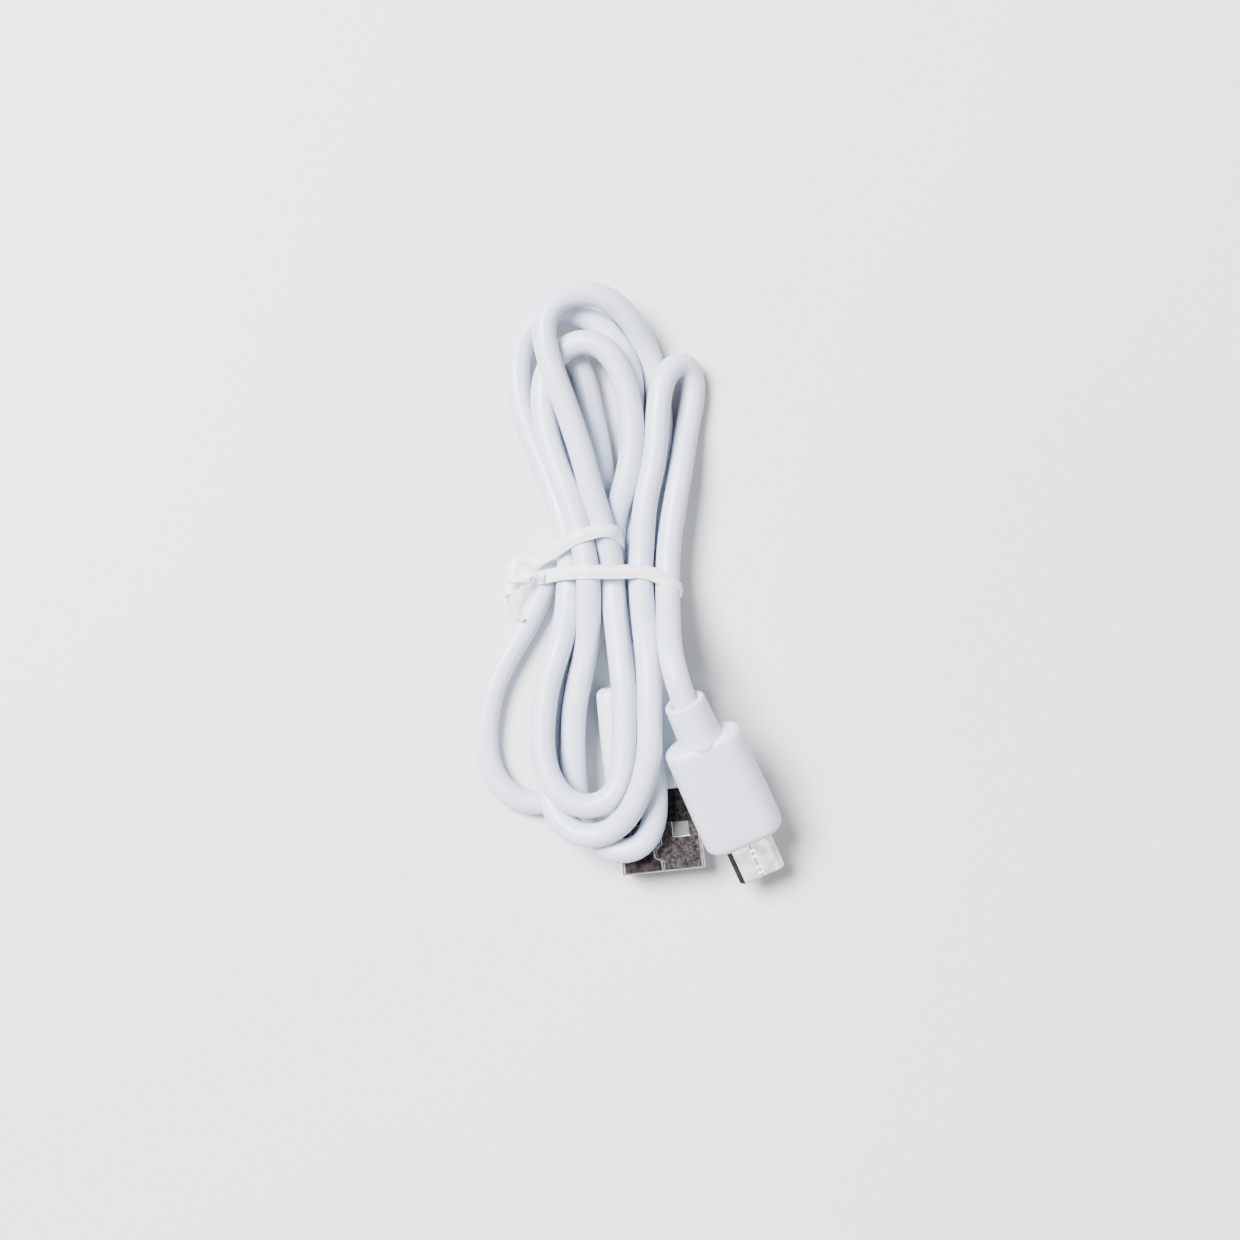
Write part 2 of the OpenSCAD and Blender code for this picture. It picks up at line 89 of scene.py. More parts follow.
# The cord's route from the large plug to the small one: each part is one run or one loop
ROUTE = [
    # out of the large plug and up the right side, under everything
    (0, 19.5, 3.2), (0.5, 23, 2.5), (1, 26.5, 2.3), (1, 30.5, 2), (1.5, 36, 1.8), (1.5, 41.5, 1.8),
    (2, 47, 1.8),
    # third top loop
    (2.5, 51, 2.4), (3, 53.5, 3.2), (2.5, 56, 3.8), (1.5, 58.5, 4), (0.5, 60.5, 4), (-1, 62, 4),
    (-2.5, 63, 4), (-4, 64, 4), (-6, 64.5, 4), (-8, 64.5, 3.8), (-9.5, 63.5, 3.2), (-11, 62, 2.6),
    (-12.5, 60, 2), (-13, 57.5, 1.8),
    # down the left edge of the hank
    (-13, 55, 1.8), (-13, 52, 1.8), (-12.5, 49, 1.8), (-11.5, 46, 1.8), (-10.5, 42.5, 2),
    (-9.5, 39, 2.2), (-8.5, 35.5, 2.4), (-8.5, 32.5, 2.4), (-8.5, 29, 2.4), (-9, 25, 2.8),
    # innermost bottom loop
    (-9.5, 22.5, 3.4), (-10, 20, 4.6), (-11, 17, 5.6), (-12.5, 14, 6.2), (-14, 9.5, 6.8),
    (-14.5, 6.5, 7), (-15, 4, 7.4), (-15, 1.5, 7.8), (-14.5, -1, 8.2), (-13.5, -3, 8.6),
    (-12, -5, 9), (-10, -5.5, 9.2), (-8, -5.5, 9.4), (-6.5, -5, 9.4), (-5, -3, 9.4),
    (-4.5, -1, 9.4), (-4, 1.5, 9.4), (-3.5, 4.5, 9.4), (-3, 8.5, 9.4), (-3, 13.5, 9),
    (-3, 18, 7.6), (-3, 22, 6.2), (-3, 26.5, 5.8),
    # first and highest top loop
    (-3, 31, 6.2), (-4, 34.5, 6.6), (-4.5, 37, 7), (-5, 41.5, 7.6), (-6, 46.5, 8), (-7, 51.5, 8.4),
    (-8, 55.5, 8.6), (-8.5, 59.5, 8.6), (-8.5, 62, 8.6), (-8, 64, 8.4), (-7, 65, 8.2),
    (-6, 65.5, 8), (-4.5, 66, 8), (-3, 66, 8), (-1.5, 66, 7.8), (0, 65.5, 7.4), (1.5, 64.5, 7),
    (2.5, 63.5, 6.4), (3.5, 62, 5.6), (4.5, 60.5, 4.8), (5, 59.5, 4), (5.5, 58, 3.2), (6, 56.5, 2.6),
    # down the right side, under the narrow loop
    (6.5, 54.5, 2), (6.5, 52, 1.8), (6.5, 48.5, 1.8), (6.5, 45, 1.8), (6, 41.5, 1.8),
    (5.5, 37, 1.8), (5, 33, 1.8), (4.5, 29.5, 2), (4, 26, 2.2),
    # over the large plug
    (3, 21.5, 4.6), (2, 16.5, 8.6), (1, 12, 9.4), (0.5, 8.5, 9.4), (0, 2.5, 9.4), (0, -1, 9.4),
    (0, -3.5, 9.4),
    # lowest bottom loop
    (0, -6, 9), (-0.5, -8, 8.6), (-1, -10, 8.2), (-2, -11.5, 7.8), (-3.5, -12.5, 7.4),
    (-5.5, -12.5, 6.4), (-8, -11, 5.4), (-9.5, -9.5, 4.8),
    # up the middle
    (-10.5, -7, 4.6), (-11, -4.5, 4.6), (-11, -1.5, 4.8), (-11, 2, 5), (-10.5, 5.5, 5.2),
    (-10, 9, 5.4), (-8.5, 13.5, 5.6), (-7.5, 17.5, 5.8), (-7, 21.5, 6.2), (-6.5, 25, 7),
    (-6.5, 28, 7),
    # second top loop
    (-7, 32, 6.2), (-7.5, 36, 6), (-8.5, 39.5, 5.8), (-9.5, 44.5, 5.6), (-10, 48.5, 5.6),
    (-10, 52, 5.4), (-9, 55.5, 5.2), (-8, 57.5, 5.4), (-6.5, 58.5, 5.8), (-5, 59, 6.2),
    (-3, 59.5, 6.6), (-1, 59, 6.8), (0, 57.5, 6.8), (1, 55.5, 6.6), (2, 53.5, 6.4), (2.5, 50.5, 6.2),
    (2.5, 48, 6), (2.5, 45, 5.8), (2, 42, 5.6),
    # down under the first top loop
    (1, 39.5, 5.4), (-0.5, 36.5, 4.8),
    # to the left bottom loop, under everything
    (-2, 33, 3.6), (-2.5, 30, 2.6), (-2.5, 26.5, 2.2), (-4, 24, 2), (-5.5, 21.5, 1.8), (-7, 18, 1.8),
    (-8.5, 14.5, 1.8), (-10, 10, 1.8), (-11, 6, 1.8), (-11.5, 2, 1.8), (-12.5, -1.5, 1.8),
    (-14, -4, 1.8), (-16, -5, 1.8),
    # wide bottom loop on the left
    (-18, -5, 1.8), (-19.5, -4.5, 1.8), (-21, -3, 1.8), (-22.5, -1.5, 1.8), (-23, 0, 1.8),
    (-23.5, 2.5, 1.8), (-23.5, 5, 1.8), (-23, 8, 1.8), (-22, 11, 1.8), (-21, 13.5, 1.8),
    (-19, 16.5, 1.8), (-17.5, 18.5, 1.8), (-15.5, 21.5, 1.8), (-14, 24, 2), (-13, 26, 2.2),
    # low top loop on the left
    (-12, 28, 2.2), (-10.5, 31, 2), (-8.5, 34.5, 1.8), (-7, 38, 1.8), (-6.5, 41.5, 1.8),
    (-7, 45, 1.8), (-7.5, 48.5, 1.8), (-8.5, 52.5, 1.8), (-9, 55.5, 1.8), (-8.5, 57.5, 1.8),
    (-7, 59, 1.8), (-5.5, 59, 2),
    # down inside the second top loop
    (-4.5, 57.5, 2), (-4, 55.5, 2.2), (-3.5, 52.5, 2.4), (-3, 48.5, 2.6), (-2.5, 45.5, 2.6),
    (-2.5, 42.5, 2.4), (-2.5, 39.5, 2.2),
    # under the middle of the hank
    (-3, 36.5, 2), (-4, 33, 1.8), (-5, 30, 2), (-5.5, 27, 2.2), (-7, 24, 2), (-8.5, 21.5, 1.8),
    (-10, 18, 1.8), (-12, 14, 1.8), (-13, 10, 1.8), (-14, 6, 2.2), (-14.5, 2, 3), (-14.5, -0.5, 4.2),
    # middle bottom loop
    (-14.5, -3, 5.2), (-14.5, -5.5, 6), (-13.5, -7.5, 6.4), (-12.5, -8.5, 6.8), (-10.5, -10, 7.2),
    (-8.5, -10, 7.8), (-7, -9.5, 8.6), (-5, -8.5, 9.6), (-4, -7, 10.8), (-2.5, -5, 11.8),
    (-1.5, -3, 12.6), (-0.5, 0, 13),
    # up over the large plug
    (0, 3, 13), (0.5, 8, 13), (1, 13.5, 12), (1, 16.5, 10.8), (1, 20.5, 8.4), (1, 23.5, 7),
    (1, 26, 5.8),
    # narrow top loop on the right
    (1.5, 29, 5.8), (2, 33, 6), (2.5, 36.5, 6), (4, 41.5, 6), (5, 46, 6), (6, 49, 6), (6.5, 52, 5.8),
    (8, 54.5, 5.2), (9.5, 55.5, 4.4), (11, 55, 3.4), (11.5, 53.5, 2.8), (11, 51, 2.4),
    (10.5, 48.5, 2.4), (9.5, 45, 3.2), (8.5, 41, 4.2), (7.5, 37.5, 4.8), (6.5, 33.5, 5.2),
    (5.5, 29.5, 5.6), (5, 26, 5.8),
    # down to the small plug
    (4.5, 21.5, 8), (4, 18.5, 10.5), (4, 16, 13), (4, 13.5, 15), (4.5, 11, 15.8),
]


# ---------------------------------------------------------------- camera
def make_camera():
    data = bpy.data.cameras.new("camera")
    data.lens = CAM_LENS
    data.sensor_width = CAM_SENSOR
    data.clip_start = 0.01
    cam = bpy.data.objects.new("camera", data)
    cam.location = (CAM_AT[0] * MM, CAM_AT[1] * MM, CAM_H * MM)
    cam.rotation_euler = (0, 0, math.radians(CAM_TURN))
    bpy.context.scene.collection.objects.link(cam)
    bpy.context.scene.camera = cam


# ---------------------------------------------------------------- mesh helpers
def b_point(x, y, z):
    """A point of the small plug's own space, in the row frame, in millimetres."""
    return B_MOUTH + B_TURN @ Vector((x, y, z))


def add_mesh(name, verts, faces, place=None, smooth_angle=40):
    """Mesh object from millimetre points, placed by an optional millimetre matrix."""
    if place is not None:
        verts = [place @ Vector(v) for v in verts]
    mesh = bpy.data.meshes.new(name)
    mesh.from_pydata([[c * MM for c in v] for v in verts], [], faces)
    mesh.validate()
    mesh.update()
    for poly in mesh.polygons:
        poly.use_smooth = True
    if smooth_angle:
        mesh.set_sharp_from_angle(angle=math.radians(smooth_angle))
    obj = bpy.data.objects.new(name, mesh)
    bpy.context.scene.collection.objects.link(obj)
    return obj


def apply_modifiers(obj):
    """Keep what the modifiers make, and drop the modifiers."""
    depsgraph = bpy.context.evaluated_depsgraph_get()
    mesh = bpy.data.meshes.new_from_object(obj.evaluated_get(depsgraph))
    obj.modifiers.clear()
    obj.data = mesh
    return obj


def rings_to_faces(rows, cols, caps=True):
    """Quads between rows of points, each row closed round, with flat caps if wanted."""
    faces = []
    for i in range(rows - 1):
        for k in range(cols):
            m = (k + 1) % cols
            faces.append((i * cols + k, i * cols + m, (i + 1) * cols + m, (i + 1) * cols + k))
    if caps:
        faces.append(tuple(reversed(range(cols))))
        faces.append(tuple(range((rows - 1) * cols, rows * cols)))
    return faces


def finish_piece(obj, material, body=ROOT):
    """Give a piece its material and the body that it moves with."""
    obj.data.materials.clear()
    obj.data.materials.append(material)
    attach(obj, body)
    return obj


# ---------------------------------------------------------------- cord
def spline(points, per_span=12):
    """Centripetal Catmull-Rom curve through the points."""
    p = np.array(points, float)
    p = np.vstack([2 * p[0] - p[1], p, 2 * p[-1] - p[-2]])
    out = []
    for i in range(1, len(p) - 2):
        p0, p1, p2, p3 = p[i - 1:i + 3]
        t0 = 0.0
        t1 = t0 + np.linalg.norm(p1 - p0) ** 0.5
        t2 = t1 + np.linalg.norm(p2 - p1) ** 0.5
        t3 = t2 + np.linalg.norm(p3 - p2) ** 0.5
        for t in np.linspace(t1, t2, per_span, endpoint=False):
            a1 = (t1 - t) / (t1 - t0) * p0 + (t - t0) / (t1 - t0) * p1
            a2 = (t2 - t) / (t2 - t1) * p1 + (t - t1) / (t2 - t1) * p2
            a3 = (t3 - t) / (t3 - t2) * p2 + (t - t2) / (t3 - t2) * p3
            b1 = (t2 - t) / (t2 - t0) * a1 + (t - t0) / (t2 - t0) * a2
            b2 = (t3 - t) / (t3 - t1) * a2 + (t - t1) / (t3 - t1) * a3
            out.append((t2 - t) / (t2 - t1) * b1 + (t - t1) / (t2 - t1) * b2)
    out.append(p[-2])
    return np.array(out)


def resample(points, step):
    """The same line with evenly spaced points, and their spacing."""
    along = np.r_[0, np.cumsum(np.linalg.norm(np.diff(points, axis=0), axis=1))]
    count = int(round(along[-1] / step))
    at = np.linspace(0, along[-1], count + 1)
    return np.stack([np.interp(at, along, points[:, k]) for k in range(3)], axis=1), at[1]


def smooth(points, rounds):
    """Taubin smoothing: takes small waves out and doesn't shrink the loops."""
    p = points.copy()
    for _ in range(rounds):
        for factor in (0.5, -0.53):
            p[1:-1] += factor * ((p[:-2] + p[2:]) / 2 - p[1:-1])
    return p


def push_out(p, centre, half, edge, turn, clear):
    """How far each point moves to lie clear of a box with rounded edges."""
    local = (p - centre) @ turn
    q = np.abs(local) - (half - edge)
    outer = np.maximum(q, 0)
    dist = np.linalg.norm(outer, axis=1)
    signed = dist + np.minimum(q.max(axis=1), 0) - edge
    normal = np.where(dist[:, None] > 1e-6, outer / np.maximum(dist, 1e-6)[:, None], 0)
    inside = dist <= 1e-6
    axis = q.argmax(axis=1)
    normal[inside] = 0
    normal[inside, axis[inside]] = 1
    normal *= np.sign(local)
    return (normal * np.maximum(clear - signed, 0)[:, None]) @ turn.T


def plug_solids(near_a, near_b):
    """Rounded boxes that the cord lies clear of.

    Each has its centre, half size, edge radius, turn and the stretch of cord that it holds."""
    flat, turn = np.eye(3), np.array(B_TURN)
    grip_edge_a, shell_edge_a, grip_edge_b = 2.2, 0.6, 3.0
    sleeve_half, sleeve_edge = np.array([2.95, 3.1, 2.95]), 2.8
    grip_a = np.array([A_GRIP_SIZE[0] / 2, (A_REAR - A_GRIP) / 2, A_AXIS_Z])
    shell_a = np.array([A_SHELL[0] / 2, (A_GRIP - A_MOUTH) / 2, A_SHELL[1] / 2])
    grip_b = np.array([B_GRIP_FRONT / 2, (B_REAR - B_GRIP) / 2, B_GRIP_H / 2])
    return [
        (np.array([0, (A_GRIP + A_REAR) / 2, A_AXIS_Z]), grip_a, grip_edge_a, flat, None),
        (np.array([0, (A_MOUTH + A_GRIP) / 2, A_AXIS_Z]), shell_a, shell_edge_a, flat, None),
        (np.array([0, (A_REAR + A_SLEEVE_END) / 2, A_AXIS_Z]), sleeve_half, sleeve_edge, flat,
         near_a),
        (np.array(b_point(0, (B_GRIP + B_REAR) / 2, 0)), grip_b, grip_edge_b, turn, None),
        (np.array(b_point(0, (B_REAR + B_SLEEVE_END) / 2, 0)), sleeve_half, sleeve_edge, turn,
         near_b),
    ]


def keep_length(x, step):
    """Bring every span nearer to its own length."""
    share = 0.1
    for first in (0, 1):
        k = np.arange(first, len(x) - 1, 2)
        v = x[k + 1] - x[k]
        length = np.linalg.norm(v, axis=1)[:, None]
        shift = (length - step) / length * v * share
        x[k] += shift
        x[k + 1] -= shift


def soften(moved):
    """Smooth how far the points have moved, at three scales, so that the strands keep their
    curves."""
    share = 0.25
    for h in (1, 2, 4):
        middle = (moved[:-2 * h] + moved[2 * h:]) / 2
        moved[h:-h] += (middle - moved[h:-h]) * share


def part_strands(x, i, j):
    """Push strands apart where they overlap, and more upwards than sideways."""
    sideways, upwards, give = 0.8, 1.3, 0.35
    v = x[i] - x[j]
    dist = np.linalg.norm(v, axis=1)
    hit = dist < CORD_D
    push = v[hit] / np.maximum(dist[hit], 1e-6)[:, None]
    push = push * np.array([sideways, sideways, upwards])
    push *= (CORD_D - dist[hit])[:, None] * give
    total, count = np.zeros_like(x), np.zeros(len(x))
    np.add.at(total, i[hit], push)
    np.add.at(total, j[hit], -push)
    np.add.at(count, i[hit], 1)
    np.add.at(count, j[hit], 1)
    x += total / np.maximum(count * 0.5, 1)[:, None]


def keep_in_tie(x):
    """Hold the strands inside the tie's band."""
    half_band = 1.6
    room = TIE_ROOM[0] / 2 - CORD_R
    place = x[:, :2] - TIE_AT
    in_tie = np.abs(place @ TIE_ONWARD) < half_band
    side = place @ TIE_ACROSS
    x[in_tie, :2] += ((np.clip(side, -room, room) - side)[:, None] * TIE_ACROSS)[in_tie]
    low, high = TIE_T + CORD_R, TIE_T + TIE_ROOM[1] - CORD_R
    x[in_tie, 2] = np.clip(x[in_tie, 2], low, high)


def settle(route, step=1.6, rounds=700):
    """Lay the cord's strands on and beside each other under a light weight."""
    held_a, held_b = 9, 10.5
    sleeve_a, sleeve_b = 14, 16
    pull, pull_up = 0.08, 0.05
    weight, added_weight = 0.015, 0.02
    look_every, look_beyond = 8, 1.6
    own_strand = 1.6 * CORD_D
    start = [(0, 8, A_AXIS_Z), (0, 12, A_AXIS_Z), (0, 15, A_AXIS_Z), (0, A_SLEEVE_END, A_AXIS_Z)]
    end = [b_point(0, B_SLEEVE_END + back, 0) for back in (0.4, -3, -7, -10)]
    path, step = resample(spline(start + route + [tuple(p) for p in end]), step)
    target = smooth(path, 30)
    x = target.copy()
    along = np.arange(len(x)) * step
    held = (along < held_a) | (along > along[-1] - held_b)
    solids = plug_solids(along < sleeve_a, along > along[-1] - sleeve_b)
    skip = int(math.ceil(own_strand / step))
    for turn_no in range(rounds):
        part = turn_no / rounds
        x[:, :2] += pull * (target - x)[:, :2]
        x[:, 2] += pull_up * (1 - part) ** 2 * (target - x)[:, 2]
        x[:, 2] -= weight + added_weight * part
        if turn_no % look_every == 0:
            dist = np.linalg.norm(x[:, None] - x[None], axis=2)
            i, j = np.where(dist < CORD_D + look_beyond)
            apart = j - i > skip
            i, j = i[apart], j[apart]
        for _ in range(3):
            keep_length(x, step)
            moved = x - target
            soften(moved)
            x = target + moved
            part_strands(x, i, j)
            for centre, half, edge, rotation, own in solids:
                away = push_out(x, centre, half, edge, rotation, CORD_R)
                if own is not None:
                    away[own] = 0
                x += away
            keep_in_tie(x)
            x[:, 2] = np.maximum(x[:, 2], CORD_R)
            x[held] = target[held]
    fine, _ = resample(spline(smooth(x, 6), 4), 0.8)
    fine[:, 2] = np.maximum(fine[:, 2], CORD_R)
    return fine


def tube(name, path, radius, sides=24):
    """Round tube along a line of points, turned as little as possible from ring to ring."""
    tangent = np.gradient(path, axis=0)
    tangent /= np.linalg.norm(tangent, axis=1)[:, None]
    up = np.array([0.0, 0.0, 1.0])
    u = np.cross(tangent[0], up)
    u /= np.linalg.norm(u)
    angles = np.linspace(0, 2 * math.pi, sides, endpoint=False)
    verts = []
    for p, t in zip(path, tangent):
        u = u - t * (u @ t)
        u /= np.linalg.norm(u)
        w = np.cross(t, u)
        for a in angles:
            verts.append(p + radius * (math.cos(a) * u + math.sin(a) * w))
    return add_mesh(name, verts, rings_to_faces(len(path), sides), smooth_angle=60)


# ---------------------------------------------------------------- materials
def new_material(name):
    """Empty material, its node tree and its shader."""
    mat = bpy.data.materials.new(name)
    mat.use_nodes = True
    tree = mat.node_tree
    return mat, tree, tree.nodes["Principled BSDF"]


def noise(tree, scale, detail, stretch=(1, 1, 1)):
    """Noise over the object's own space; scale is in features a metre."""
    coords = tree.nodes.new("ShaderNodeTexCoord")
    mapping = tree.nodes.new("ShaderNodeMapping")
    mapping.inputs["Scale"].default_value = stretch
    tex = tree.nodes.new("ShaderNodeTexNoise")
    tex.inputs["Scale"].default_value = scale
    tex.inputs["Detail"].default_value = detail
    tree.links.new(coords.outputs["Object"], mapping.inputs["Vector"])
    tree.links.new(mapping.outputs["Vector"], tex.inputs["Vector"])
    return tex.outputs["Fac"]


def ramp(tree, value, low, high, from_low=0.3, from_high=0.7):
    """Blend from one colour to another over the middle of a noise."""
    node = tree.nodes.new("ShaderNodeValToRGB")
    node.color_ramp.elements[0].position = from_low
    node.color_ramp.elements[1].position = from_high
    node.color_ramp.elements[0].color = (*low, 1)
    node.color_ramp.elements[1].color = (*high, 1)
    tree.links.new(value, node.inputs["Fac"])
    return node.outputs["Color"]


def spread(tree, value, low, high):
    """Map the middle of a noise to a range of values."""
    node = tree.nodes.new("ShaderNodeMapRange")
    node.inputs["From Min"].default_value = 0.3
    node.inputs["From Max"].default_value = 0.7
    node.inputs["To Min"].default_value = low
    node.inputs["To Max"].default_value = high
    tree.links.new(value, node.inputs["Value"])
    return node.outputs["Result"]


def bump(tree, shader, value, distance_mm, strength, before=None):
    """Raise the surface by a noise, on top of an earlier bump if there is one."""
    node = tree.nodes.new("ShaderNodeBump")
    node.inputs["Strength"].default_value = strength
    node.inputs["Distance"].default_value = distance_mm * MM
    tree.links.new(value, node.inputs["Height"])
    if before is not None:
        tree.links.new(before, node.inputs["Normal"])
    tree.links.new(node.outputs["Normal"], shader.inputs["Normal"])
    return node.outputs["Normal"]


def plastic(name, low, high, rough, grain=2500, grain_mm=0.02, soft=0.0, patch=120):
    """Moulded or extruded plastic: cloudy colour, uneven gloss and a fine skin."""
    mat, tree, shader = new_material(name)
    cloud = noise(tree, patch, 4.0)
    tree.links.new(ramp(tree, cloud, low, high), shader.inputs["Base Color"])
    tree.links.new(spread(tree, noise(tree, patch * 3, 2.0), rough[0], rough[1]),
                   shader.inputs["Roughness"])
    first = bump(tree, shader, noise(tree, patch * 1.5, 2.0), grain_mm * 4, 0.25)
    bump(tree, shader, noise(tree, grain, 3.0), grain_mm, 0.35, first)
    shader.inputs["IOR"].default_value = 1.5
    if soft:
        shader.inputs["Subsurface Weight"].default_value = soft
        shader.inputs["Subsurface Radius"].default_value = (0.9, 1.0, 1.2)
        shader.inputs["Subsurface Scale"].default_value = 0.0012
    return mat


def metal(name, low, high, rough, grain=1800, stretch=(1, 1, 1), grain_mm=0.01, patch=350):
    """Plated sheet: colour with stains, uneven polish and fine rolling marks."""
    mat, tree, shader = new_material(name)
    shader.inputs["Metallic"].default_value = 1.0
    stain = noise(tree, patch, 5.0)
    tree.links.new(ramp(tree, stain, low, high, 0.35, 0.65), shader.inputs["Base Color"])
    tree.links.new(spread(tree, noise(tree, patch * 2.5, 3.0), rough[0], rough[1]),
                   shader.inputs["Roughness"])
    bump(tree, shader, noise(tree, grain, 3.0, stretch), grain_mm, 0.4)
    return mat


def make_materials():
    return {
        "cord_white": plastic("cord_jacket", (0.585, 0.645, 0.75), (0.635, 0.685, 0.775),
                              rough=(0.3, 0.42), grain=3200, grain_mm=0.012, soft=0.03, patch=90),
        "grip_white": plastic("grip_plastic", (0.64, 0.69, 0.79), (0.68, 0.725, 0.81),
                              rough=(0.38, 0.5), grain=3800, soft=0.03, patch=110),
        "tie_white": plastic("tie_plastic", (0.82, 0.825, 0.85), (0.88, 0.882, 0.9),
                             rough=(0.3, 0.45), grain=2600, soft=0.3, patch=300),
        "plug_shell": metal("plug_sheet", (0.04, 0.034, 0.033), (0.16, 0.145, 0.14),
                            rough=(0.28, 0.5), grain=2400, grain_mm=0.02, patch=2200),
        # smoother metal for the large shell's left half, also darker: a painted reflection
        "plug_smooth_painted_darker": metal("plug_sheet_left_painted_darker", (0.035, 0.027, 0.027), (0.11, 0.092, 0.09),
                             rough=(0.3, 0.42), grain=2400, grain_mm=0.012, patch=900),
        # near black metal, painted shade on the large shell
        "plug_painted_shade": metal("plug_sheet_painted_shade", (0.008, 0.007, 0.008), (0.045, 0.04, 0.04),
                           rough=(0.35, 0.5), grain=2400, grain_mm=0.02, patch=1800),
        # bright metal for the large shell's edges, a painted highlight
        "shell_edge_painted_highlight": metal("plug_edge", (0.72, 0.71, 0.69), (0.85, 0.84, 0.82),
                             rough=(0.2, 0.3), grain=2400, grain_mm=0.006, patch=700),
        "micro_shell": metal("small_plug_sheet", (0.46, 0.44, 0.415), (0.72, 0.695, 0.665),
                             rough=(0.25, 0.4), grain=2400, stretch=(1, 0.2, 1), grain_mm=0.008,
                             patch=260),
        # bright metal for the small shell's edges and bars, a painted highlight
        "micro_edge_painted_highlight": metal("small_plug_edge", (0.86, 0.85, 0.83), (0.92, 0.91, 0.9),
                              rough=(0.18, 0.26), grain=2400, grain_mm=0.005, patch=500),
        # near black metal, a painted dark reflection on one sloped side of the small shell
        "micro_painted_reflection": metal("small_plug_painted_reflection", (0.012, 0.01, 0.009), (0.03, 0.026, 0.024),
                            rough=(0.4, 0.55), grain=2400, grain_mm=0.008, patch=500),
        # mid grey instead of the tongue's white: painted shade for the tongue inside the shell
        "insulator_white": plastic("tongue_plastic", (0.13, 0.13, 0.135), (0.2, 0.2, 0.2),
                                   rough=(0.3, 0.4), grain=3000, grain_mm=0.01, soft=0.1,
                                   patch=400),
        "insulator_black": plastic("small_tongue_plastic", (0.03, 0.03, 0.032),
                                   (0.055, 0.055, 0.06), rough=(0.3, 0.45), grain=3000,
                                   grain_mm=0.01, patch=400),
        "contact_gold": metal("gold_plate", (0.75, 0.55, 0.22), (0.88, 0.70, 0.34),
                              rough=(0.15, 0.3), grain=2600, stretch=(1, 0.1, 1), grain_mm=0.006,
                              patch=600),
        "inner_mould": plastic("inner_plastic", (0.78, 0.77, 0.73), (0.85, 0.84, 0.8),
                               rough=(0.45, 0.6), grain=2200, soft=0.1, patch=200),
        "crimp_tin": metal("tin_plate", (0.5, 0.5, 0.5), (0.66, 0.66, 0.66), rough=(0.3, 0.45)),
        "wire_red": plastic("wire_red", (0.5, 0.02, 0.02), (0.62, 0.05, 0.04), rough=(0.3, 0.4)),
        "wire_white": plastic("wire_white", (0.78, 0.78, 0.76), (0.85, 0.85, 0.83),
                              rough=(0.3, 0.4)),
        "wire_green": plastic("wire_green", (0.03, 0.32, 0.08), (0.05, 0.42, 0.12),
                              rough=(0.3, 0.4)),
        "wire_black": plastic("wire_black", (0.015, 0.015, 0.015), (0.04, 0.04, 0.04),
                              rough=(0.3, 0.4)),
        "latch_steel": metal("spring_steel", (0.5, 0.5, 0.49), (0.66, 0.65, 0.63),
                             rough=(0.2, 0.35), grain=2600, stretch=(1, 0.1, 1), grain_mm=0.006,
                             patch=500),
        "tie_core": metal("tie_wire", (0.35, 0.35, 0.35), (0.5, 0.5, 0.49), rough=(0.35, 0.5)),
    }


# ---------------------------------------------------------------- plugs
def round_section(w, h, r, line, corner=8):
    """Rounded rectangle in X and Z; line is how far a moulding line stands out at its sides."""
    pts = []
    for cx, cz, start in ((1, 1, 0), (-1, 1, 90), (-1, -1, 180), (1, -1, 270)):
        for k in range(corner + 1):
            a = math.radians(start + 90 * k / corner)
            pts.append((cx * (w / 2 - r) + r * math.cos(a), cz * (h / 2 - r) + r * math.sin(a)))
        if start in (90, 270):
            side = -1 if start == 90 else 1
            for z, out in ((0.09, 0), (0.04, line), (-0.04, line), (-0.09, 0)):
                pts.append((side * (w / 2 + out), z if side < 0 else -z))
    return pts


def grip(name, y0, y1, width, height, radius, front_round, rear_round, place, steps=5):
    """Moulded grip: a rounded section run between two rounded ends.

    width and height are functions of the share of the length."""
    moulding_line = 0.035
    length = y1 - y0
    rows = [(y0 + front_round * (1 - math.cos(a)), front_round * (1 - math.sin(a)))
            for a in (math.pi / 2 * k / steps for k in range(steps + 1))]
    rows += [(y0 + length * s, 0.0) for s in (0.15, 0.22, 0.3, 0.4, 0.5, 0.6, 0.7, 0.8, 0.88)
             if y0 + length * s > y0 + front_round and y0 + length * s < y1 - rear_round]
    rows += [(y1 - rear_round * (1 - math.sin(a)), rear_round * (1 - math.cos(a)))
             for a in (math.pi / 2 * k / steps for k in range(steps + 1))]
    verts = []
    for y, inset in rows:
        share = (y - y0) / length
        w, h = width(share) - 2 * inset, height(share) - 2 * inset
        r = max(min(radius - 0.4 * inset, w / 2 - 0.05, h / 2 - 0.05), 0.3)
        section = round_section(w, h, r, moulding_line)
        verts += [(x, y, z) for x, z in section]
    return add_mesh(name, verts, rings_to_faces(len(rows), len(section)), place, 50)


